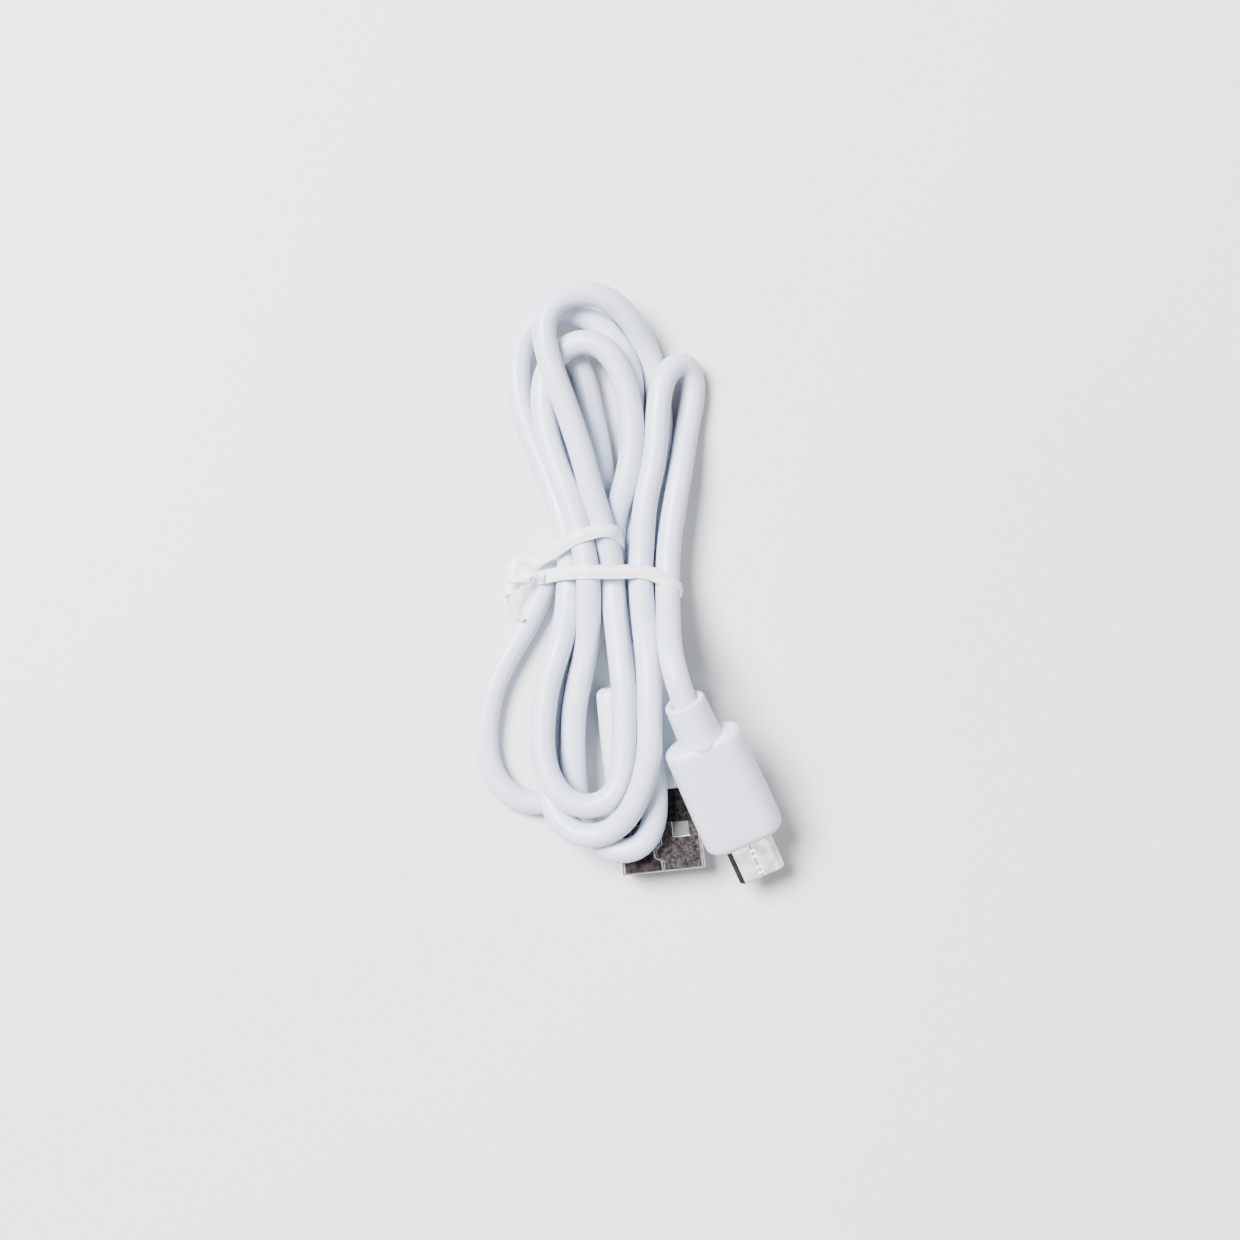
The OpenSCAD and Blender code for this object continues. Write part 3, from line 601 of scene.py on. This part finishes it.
def sleeve(name, place, length):
    """Collar behind a grip: a stepped, rounded sleeve with the cord's bore in its end."""
    bore = CORD_R + 0.06
    flare = CORD_R + 0.28
    into_grip = -0.85
    profile = [(1.0, into_grip), (SLEEVE_R + 0.02, into_grip), (SLEEVE_R + 0.1, into_grip + 0.1),
               (SLEEVE_R + 0.1, 0.05), (SLEEVE_R, 0.3)]
    profile += [(SLEEVE_R + (SLEEVE_END_R - SLEEVE_R) * k / 4, 0.3 + (length - 0.9) * k / 4)
                for k in range(1, 5)]
    rim = 0.32
    top = length - 0.6
    profile += [(SLEEVE_END_R - rim + rim * math.cos(a), top + 0.6 * math.sin(a))
                for a in (math.pi / 2 * k / 5 for k in range(1, 6))]
    profile += [(flare, length), (flare - 0.12, length - 0.14), (bore, length - 0.5),
                (bore, length - 2.5)]
    sides = 48
    verts = [(r * math.cos(2 * math.pi * k / sides), y, r * math.sin(2 * math.pi * k / sides))
             for r, y in profile for k in range(sides)]
    faces = rings_to_faces(len(profile), sides, caps=False)
    return add_mesh(name, verts, [tuple(reversed(f)) for f in faces], place, 50)


def folded_sheet(name, outline, ys, is_open, is_bright, thickness, place, edge):
    """Sheet metal folded round an outline, with windows and a seam left open.

    outline is a list of functions of y that give X and Z, in order round the section, and the
    sheet's thickness lies inside it. Faces where is_bright holds, and all rounded edges, take
    the second material."""
    cols = len(outline)
    verts = []
    for y in ys:
        for point in outline:
            x, z = point(y)
            verts.append((x, y, z))
    faces, bright = [], []
    for i in range(len(ys) - 1):
        y_mid = (ys[i] + ys[i + 1]) / 2
        for k in range(cols):
            m = (k + 1) % cols
            (x0, z0), (x1, z1) = outline[k](y_mid), outline[m](y_mid)
            if is_open(k, (x0 + x1) / 2, (z0 + z1) / 2, y_mid):
                continue
            faces.append((i * cols + k, i * cols + m, (i + 1) * cols + m, (i + 1) * cols + k))
            bright.append(is_bright(k, (x0 + x1) / 2, y_mid))
    obj = add_mesh(name, verts, faces, place, 0)
    for poly, shiny in zip(obj.data.polygons, bright):
        poly.material_index = int(shiny)
    bm = bmesh.new()
    bm.from_mesh(obj.data)
    bmesh.ops.delete(bm, geom=[v for v in bm.verts if not v.link_faces], context="VERTS")
    bm.to_mesh(obj.data)
    bm.free()
    thick = obj.modifiers.new("thickness", "SOLIDIFY")
    thick.thickness = thickness * MM
    thick.offset = -1
    thick.use_even_offset = True
    # the rounded edges take the second material, a painted highlight, and can only take one that is
    # there
    for _ in range(2):
        obj.data.materials.append(None)
    soft = obj.modifiers.new("edges", "BEVEL")
    soft.width = edge * MM
    soft.segments = 2
    soft.limit_method = "ANGLE"
    soft.angle_limit = math.radians(40)
    soft.material = 1
    even = obj.modifiers.new("flat_faces", "WEIGHTED_NORMAL")
    even.keep_sharp = True
    return apply_modifiers(obj)


def fixed_point(x, z):
    """Corner of an outline that stays in one place along the sheet."""
    return lambda y: (x, z)


def seam_point(side, gap, path, z):
    """Edge of a seam whose line steps sideways along the sheet."""
    ys = [p[0] for p in path]
    xs = [p[1] for p in path]
    return lambda y: (float(np.interp(y, ys, xs)) + side * gap / 2, z)


def arc(cx, cz, r, start, steps=6):
    """Quarter of a circle, clockwise from an angle in degrees."""
    return [fixed_point(cx + r * math.cos(math.radians(start - 90 * k / steps)),
                        cz + r * math.sin(math.radians(start - 90 * k / steps)))
            for k in range(steps + 1)]


def plate_finish(obj, *metals):
    """Give plated sheet its metals: its face, its painted highlights on the edges, its painted
    dark shade and reflection, and the large shell's smoother left half, painted darker, in the
    order of the faces' material numbers."""
    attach(obj, ROOT)
    for k, metal_used in enumerate(metals):
        if k == len(obj.data.materials):
            obj.data.materials.append(None)
        obj.data.materials[k] = metal_used
    return obj


def large_shell(mats):
    """Large plug's folded shell, with two windows in each wide side and a stepped seam."""
    w, h, r = A_SHELL[0] / 2, A_SHELL[1] / 2, 0.6
    window_x, window_y = (1.87, 4.17), (4.8, 6.9)
    gap, seam_strip = 0.1, 0.28
    # the seam's line, as a place along the shell and a step to the side
    path = [(0, 0), (1.5, 0), (2.05, -0.95), (3.1, -0.95), (3.85, -0.05), (20, -0.05)]
    seam_highlight_lines = [[(y, x + side * seam_strip) for y, x in path] for side in (1, -1)]
    # clockwise seen from the mouth, from the middle of the upper side
    outline = [seam_point(1, gap, path, h), seam_point(0, 0, seam_highlight_lines[0], h),
               fixed_point(window_x[0], h), fixed_point(window_x[1], h)]
    outline += arc(w - r, h - r, r, 90) + arc(w - r, -(h - r), r, 0)
    outline += [fixed_point(x, -h) for x in (window_x[1], window_x[0], -window_x[0],
                                             -window_x[1])]
    outline += arc(-(w - r), -(h - r), r, -90) + arc(-(w - r), h - r, r, 180)
    outline += [fixed_point(-window_x[1], h), fixed_point(-window_x[0], h),
                seam_point(0, 0, seam_highlight_lines[1], h), seam_point(-1, gap, path, h)]
    last = len(outline) - 1
    ys = [0, 0.22, 0.6, 1.5, 2.05, 3.1, 3.85, window_y[0], 5.85, window_y[1], 8.5, 10.5, 12.5,
          14]

    def is_open(k, x, z, y):
        in_window = window_x[0] < abs(x) < window_x[1] and window_y[0] < y < window_y[1]
        return k == last or (in_window and abs(z) > h - 0.1)

    def is_bright(k, x, y):
        # painted highlights: the mouth's front rim, the strips beside the seam and the rounded sides
        return y < 0.2 or k in (0, last - 1) or abs(x) > w - r

    place = Matrix.Translation((0, A_MOUTH, A_AXIS_Z))
    obj = folded_sheet("large_plug_shell", outline, ys, is_open, is_bright, SHEET_A, place, 0.09)
    # the right window has a painted highlight at its left and front edges only, with painted shade
    # at its right and rear edges and on the strip behind it, the rear of the upper side is painted
    # shade, and the left half is smoother than the right and painted darker, a painted reflection
    painted_dark, smoother_painted_darker_half = 2, 3
    back = place.inverted()
    for poly in obj.data.polygons:
        x, y, z = back @ (poly.center / MM)
        beside = window_x[0] + 0.1 < x < window_x[1] + 0.2 and y > window_y[0] + 0.15
        on_rear = y > window_y[1] + 0.6 and abs(x) < w - r and z > 0
        if on_rear or beside:
            poly.material_index = painted_dark
        elif poly.material_index == 0 and x < 0:
            poly.material_index = smoother_painted_darker_half
    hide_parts("usb_a_shell")
    return plate_finish(obj, mats["plug_shell"], mats["shell_edge_painted_highlight"], mats["plug_painted_shade"],
                        mats["plug_smooth_painted_darker"])


def small_shell(mats):
    """Small plug's folded shell, with sloped upper sides, a straight seam and two latch slots."""
    w, top, h = B_SHELL[0] / 2, B_SHELL[1] / 2, B_SHELL[2] / 2
    shoulder, seam_strip, seam_gap = 0.1, 0.12, 0.03
    slot_x, slot_y = (2.03, 2.97), (1.0, 2.65)
    path = [(0, 0), (9, 0)]
    outline = [seam_point(1, seam_gap, path, h), fixed_point(seam_strip, h), fixed_point(top, h),
               fixed_point(w, shoulder), fixed_point(w, -h)]
    outline += [fixed_point(x, -h) for x in (slot_x[1], slot_x[0], -slot_x[0], -slot_x[1])]
    outline += [fixed_point(-w, -h), fixed_point(-w, shoulder), fixed_point(-top, h),
                fixed_point(-seam_strip, h), seam_point(-1, seam_gap, path, h)]
    last = len(outline) - 1
    ys = [0, 0.25, slot_y[0], 2.0, slot_y[1], 4.2, 5.6, 7]

    def is_open(k, x, z, y):
        in_slot = slot_x[0] < abs(x) < slot_x[1] and slot_y[0] < y < slot_y[1]
        return k == last or (in_slot and z < -h + 0.05)

    def is_bright(k, x, y):
        # the mouth's front rim takes the bright metal, a painted highlight
        return y < 0.1

    obj = folded_sheet("small_plug_shell", outline, ys, is_open, is_bright, SHEET_B, B_PLACE,
                       0.045)
    # one sloped side is painted dark, a painted dark reflection
    painted_dark = 2
    back = B_PLACE.inverted()
    for poly in obj.data.polygons:
        x, _, z = back @ (poly.center / MM)
        facing = B_TURN.transposed() @ poly.normal
        if x < -top and z > shoulder and facing.x < -0.3:
            poly.material_index = painted_dark
    stamped_bars(obj)
    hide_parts("micro_shell")
    return plate_finish(obj, mats["micro_shell"], mats["micro_edge_painted_highlight"], mats["micro_painted_reflection"])


def stamped_bars(shell):
    """Two pairs of short raised bars that lock the folded sheet across its seam."""
    bar_half, bar_w, bar_up, sunk = 0.55, 0.34, 0.1, 0.05
    top = B_SHELL[2] / 2
    bm = bmesh.new()
    bm.from_mesh(shell.data)
    for y in (0.8, 1.75, 3.6, 4.55):
        made = bmesh.ops.create_cube(bm, size=1)["verts"]
        for v in made:
            flare = 1.0 if v.co.z < 0 else 0.8
            local = (v.co.x * 2 * bar_half * flare, y + v.co.y * bar_w * flare,
                     top - sunk + (v.co.z + 0.5) * (bar_up + sunk))
            v.co = (B_PLACE @ Vector(local)) * MM
        # the bars take the bright metal, a painted highlight
        for face in {f for v in made for f in v.link_faces}:
            face.material_index = 1
        edges = list({e for v in made for e in v.link_edges})
        bmesh.ops.bevel(bm, geom=edges, offset=0.03 * MM, segments=2, affect="EDGES",
                        material=1)
    bm.to_mesh(shell.data)
    bm.free()


def make_plugs(mats):
    """Grips, sleeves and shells of both plugs; gives back the small plug's, which the cord
    carries at its far end."""
    a_place = Matrix.Translation((0, 0, A_AXIS_Z))
    large = grip("large_plug_grip", A_GRIP, A_REAR,
                 lambda s: A_GRIP_SIZE[0] - 0.25 + 0.25 * math.sin(math.pi * s),
                 lambda s: A_GRIP_SIZE[1], 2.0, 0.7, 1.1, a_place)
    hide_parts("usb_a_grip")
    finish_piece(large, mats["grip_white"])

    def small_width(s):
        return float(np.interp(s, (0, 0.06, 0.25, 1), (B_GRIP_FRONT - 0.5, B_GRIP_FRONT,
                                                       B_GRIP_FRONT, B_GRIP_REAR)))

    small = grip("small_plug_grip", B_GRIP, B_REAR, small_width,
                 lambda s: B_GRIP_H - 0.4 * s, 2.9, 1.3, 0.9, B_PLACE)
    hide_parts("micro_grip")
    finish_piece(small, mats["grip_white"])

    a_sleeve = sleeve("large_plug_sleeve",
                      Matrix.Translation((0, A_REAR, A_AXIS_Z)), A_SLEEVE_END - A_REAR)
    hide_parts("usb_a_sleeve")
    finish_piece(a_sleeve, mats["grip_white"])
    b_sleeve = sleeve("small_plug_sleeve", B_PLACE @ Matrix.Translation((0, B_REAR, 0)),
                      B_SLEEVE_END - B_REAR)
    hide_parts("micro_sleeve")
    finish_piece(b_sleeve, mats["grip_white"])
    large_shell(mats)
    b_shell = small_shell(mats)
    return [small, b_sleeve, b_shell]


# ---------------------------------------------------------------- twist tie
RIBBON_W = 2.0
RIBBON_T = 0.3
CORE_R = 0.3
WIRE_R = 0.18


def ribbon(name, points, normals, widths):
    """Flat ribbon with a wire's ridge along its middle, swept along the points.

    normals is the way that the flat side faces at each point."""
    path = spline(points, 10)
    count = len(path)
    at = np.linspace(0, len(points) - 1, count)
    n = np.stack([np.interp(at, range(len(points)), np.array(normals, float)[:, k])
                  for k in range(3)], axis=1)
    w = np.interp(at, range(len(points)), widths)
    tangent = np.gradient(path, axis=0)
    tangent /= np.linalg.norm(tangent, axis=1)[:, None]
    verts = []
    for p, t, normal, width in zip(path, tangent, n, w):
        normal = normal - t * (normal @ t)
        normal /= np.linalg.norm(normal)
        side = np.cross(t, normal)
        half, thin = width / 2, RIBBON_T / 2
        quarter = [(half, 0), (half - 0.06, thin), (CORE_R + 0.15, thin),
                   (CORE_R * 0.7, CORE_R * 0.85), (0, CORE_R)]
        upper = quarter + [(-a, b) for a, b in quarter[-2::-1]]
        section = upper + [(-a, -b) for a, b in upper[1:-1]]
        verts += [p + side * a + normal * b for a, b in section]
    return add_mesh(name, verts, rings_to_faces(count, len(section)), smooth_angle=60)


def hull_2d(points):
    """Convex hull, anticlockwise."""
    pts = sorted(map(tuple, points))

    def half(seq):
        out = []
        for p in seq:
            while len(out) > 1 and ((out[-1][0] - out[-2][0]) * (p[1] - out[-2][1])
                                    - (out[-1][1] - out[-2][1]) * (p[0] - out[-2][0])) <= 0:
                out.pop()
            out.append(p)
        return out[:-1]

    return np.array(half(pts) + half(reversed(pts)))


def bundle_outline(path):
    """Outline round the strands where the tie's plane cuts them."""
    slack, lowest = 0.08, 0.35
    near, widest, highest = 3, 16, 12
    s = (path[:, :2] - TIE_AT) @ TIE_ONWARD
    margin = CORD_R + RIBBON_T / 2 + slack
    ring = []
    for k in np.where((s[:-1] * s[1:] < 0) & (np.abs(s[:-1]) < near))[0]:
        f = s[k] / (s[k] - s[k + 1])
        p = path[k] + f * (path[k + 1] - path[k])
        side = (p[:2] - TIE_AT) @ TIE_ACROSS
        if abs(side) < widest and p[2] < highest:
            ring += [(side + margin * math.cos(a), max(p[2] + margin * math.sin(a), lowest))
                     for a in np.linspace(0, 2 * math.pi, 40, endpoint=False)]
    return hull_2d(ring)


def tie_point(side, onward_mm, z):
    """A point by its place across and along the bundle, and its height."""
    a = TIE_AT + side * TIE_ACROSS + onward_mm * TIE_ONWARD
    return (a[0], a[1], z)


def top_of_strands(path, x, y):
    """Height of the cord's highest surface above a point, or 0."""
    away = np.hypot(path[:, 0] - x, path[:, 1] - y)
    over = away < CORD_R
    if not over.any():
        return 0.0
    return float((path[over, 2] + np.sqrt(CORD_R ** 2 - away[over] ** 2)).max())


def drape(path, plan, first_z, last_z):
    """A taut strip laid over the strands along a line in plan, from one height to another."""
    spacing = 0.4
    line, _ = resample(spline([(x, y, 0) for x, y in plan], 8), spacing)
    along = np.arange(len(line)) * spacing
    heights = [top_of_strands(path, x, y) + RIBBON_T for x, y, _ in line]
    heights[0], heights[-1] = first_z, last_z
    points = list(zip(along, heights))
    taut = []
    for p in points:
        while len(taut) > 1 and ((taut[-1][0] - taut[-2][0]) * (p[1] - taut[-2][1])
                                 - (taut[-1][1] - taut[-2][1]) * (p[0] - taut[-2][0])) >= 0:
            taut.pop()
        taut.append(p)
    z = np.interp(along, [p[0] for p in taut], [p[1] for p in taut])
    soft = np.convolve(np.r_[[z[0]] * 2, z, [z[-1]] * 2], np.ones(5) / 5, "valid")
    return np.c_[line[::3, :2], np.maximum(soft, z)[::3]]


def band_loop(path):
    """Closed loop of the tie's main band, hugging the strands."""
    outline = bundle_outline(path)
    closed = np.vstack([outline, outline[:1]])
    even, _ = resample(np.c_[closed, np.zeros(len(closed))], 1.3)
    even = np.roll(even[:-1, :2], -int(np.argmin(even[:-1, 0])), axis=0)
    middle = even.mean(axis=0)
    pts, normals = [], []
    # the upper half bows along the bundle, and the lower half lies straight across
    for a, z in np.vstack([even, even[:1]]):
        top = np.interp(a, (-10.4, -6, -3, 1, 5, 7, 8.7, 10.3),
                        (-0.5, 0.4, 0.6, 0.7, 1.0, 0.4, -0.4, -1.5))
        under = np.interp(a, (-10.4, 10.3), (-0.5, -1.5))
        share = np.clip((z - 1.5) / 3.5, 0, 1)
        pts.append(tie_point(a, under + (top - under) * share, z))
        out = np.array([a - middle[0], (z - middle[1]) * 3])
        d = np.array([*(TIE_ACROSS * out[0]), out[1]])
        normals.append(d / np.linalg.norm(d))
    return pts, normals


def turning(points, start, turns):
    """Normals that turn about a line, for a ribbon that is twisted."""
    p = np.array(points, float)
    tangent = np.gradient(p, axis=0)
    normals = []
    for k, t in enumerate(tangent):
        t = t / np.linalg.norm(t)
        side = np.cross(t, (0, 0, 1))
        side /= np.linalg.norm(side)
        up = np.cross(side, t)
        a = math.radians(start) + 2 * math.pi * turns * k / (len(p) - 1)
        normals.append(math.cos(a) * up + math.sin(a) * side)
    return normals


def make_tie(path, mats):
    """Twist tie: its band, second wrap, ring, twist, tail and wire core."""
    pts, normals = band_loop(path)
    main = ribbon("tie_band", pts, normals, [RIBBON_W] * len(pts))
    # the second wrap: out of the gap between two strands, over the left ones, to the knot
    over = drape(path, [(-1, 31.2), (-1.8, 32.1), (-3.3, 32.6), (-5.3, 32.4), (-7.8, 31.8),
                        (-9.8, 30.8), (-11.7, 29.8), (-13.4, 29)], 5.5, 4.6)
    wrap_pts = [(-0.9, 30.6, 3.8)] + [tuple(p) for p in over]
    up = [(0.95, 0.2, 0.3), (0.8, 0.2, 0.6)] + [(0.1, 0.1, 1)] * (len(over) - 3)
    up += [(-0.2, 0.3, 0.9), (-0.3, 0.5, 0.8)]
    widths = np.interp(range(len(wrap_pts)), (0, len(wrap_pts) * 0.55, len(wrap_pts) - 1),
                       (RIBBON_W, RIBBON_W, 1.3))
    wrap = ribbon("tie_wrap", wrap_pts, up, widths)
    # its end curls round into a ring
    ring_pts = [tuple(over[-2]), tuple(over[-1]), (-14.4, 29.5, 4.9), (-15.4, 29.7, 5.2),
                (-16.4, 29.3, 5.4), (-17, 28.3, 5.4), (-16.9, 27.3, 5.2), (-16, 26.8, 5),
                (-15, 27, 4.6)]
    ring = ribbon("tie_ring", ring_pts, turning(ring_pts, 0, 0.08),
                  [1.4] * 7 + [1.3] * 2)
    # the other end is twisted back on itself and runs out in a thin tail
    twist_pts = [(-12.6, 26.9, 5.4), (-13.4, 27.2, 5.5), (-14.3, 27.4, 5.5), (-15.2, 27.2, 5.6),
                 (-16.1, 26.8, 5.6), (-17, 26.3, 5.4), (-17.8, 25.7, 5.2), (-18.3, 24.9, 4.9)]
    twist = ribbon("tie_twist", twist_pts, turning(twist_pts, 10, 1.25),
                   [2, 1.9, 1.8, 1.9, 2, 2.2, 2, 1.1])
    tail_pts = [twist_pts[-2], twist_pts[-1], (-18.4, 23.9, 4.6), (-18, 22.9, 4.3),
                (-17.2, 21.9, 4), (-16.2, 21.2, 3.8)]
    tail = ribbon("tie_tail", tail_pts, turning(tail_pts, 10, 0.1),
                  [1.1, 1.1, 1.1, 1.05, 1.05, 1])
    for piece in (main, wrap, ring, twist, tail):
        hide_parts("tie_ribbon")
        finish_piece(piece, mats["tie_white"])
    core = tube("tie_core_wire", resample(spline(pts, 4), 0.6)[0][:-1], WIRE_R, 8)
    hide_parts("tie_wire")
    finish_piece(core, mats["tie_core"])
    return [main, wrap, ring, twist, tail, core]


# ---------------------------------------------------------------- stage and light
def make_stage():
    """Plain pale floor, much larger than the object."""
    size = 3.0
    obj = add_mesh("floor", [(-size / MM, -size / MM, 0), (size / MM, -size / MM, 0),
                             (size / MM, size / MM, 0), (-size / MM, size / MM, 0)],
                   [(0, 1, 2, 3)])
    mat, tree, shader = new_material("floor")
    tree.links.new(ramp(tree, noise(tree, 6, 2.0), (0.70, 0.693, 0.695), (0.76, 0.753, 0.755)),
                   shader.inputs["Base Color"])
    shader.inputs["Roughness"].default_value = 0.6
    obj.data.materials.append(mat)


def area_light(name, at, target, size, power, color=(1, 1, 1)):
    """Round soft light turned towards a target; places and size in metres, power in watts."""
    data = bpy.data.lights.new(name, "AREA")
    data.shape = "DISK"
    data.size = size
    data.energy = power
    data.color = color
    obj = bpy.data.objects.new(name, data)
    obj.location = at
    obj.rotation_euler = (Vector(target) - Vector(at)).to_track_quat("-Z", "Y").to_euler()
    bpy.context.scene.collection.objects.link(obj)


def make_light():
    """Soft key light, two much weaker ones and a weak, pale blue sky."""
    middle = (-0.003, 0.026, 0)
    area_light("key", (-0.42, 0.38, 0.80), middle, size=0.5, power=47.0)
    area_light("fill", (0.55, 0.10, 0.70), middle, size=0.6, power=2.0, color=(0.93, 0.96, 1.0))
    area_light("front", (0.20, -0.74, 0.67), middle, size=0.5, power=3.4)
    world = bpy.data.worlds.new("studio")
    world.use_nodes = True
    back = world.node_tree.nodes["Background"]
    back.inputs["Color"].default_value = (0.82, 0.90, 1.0, 1)
    back.inputs["Strength"].default_value = 0.16
    bpy.context.scene.world = world


# ---------------------------------------------------------------- build
make_camera()
cord_path = settle(ROUTE)
cord_piece = tube("cord", cord_path, CORD_R)
materials = make_materials()
finish_piece(cord_piece, materials["cord_white"])
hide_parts("cord_hank", "cord_end_usb_a", "cord_end_micro")

slots = {part["node"]: part["material_slot"] for part in frame["record"]["subparts"]}
for node, obj in frame["nodes"].items():
    obj.data.materials.clear()
    obj.data.materials.append(materials[slots[node]])

plug_pieces = make_plugs(materials)
tie_pieces = make_tie(cord_path, materials)
make_stage()
make_light()
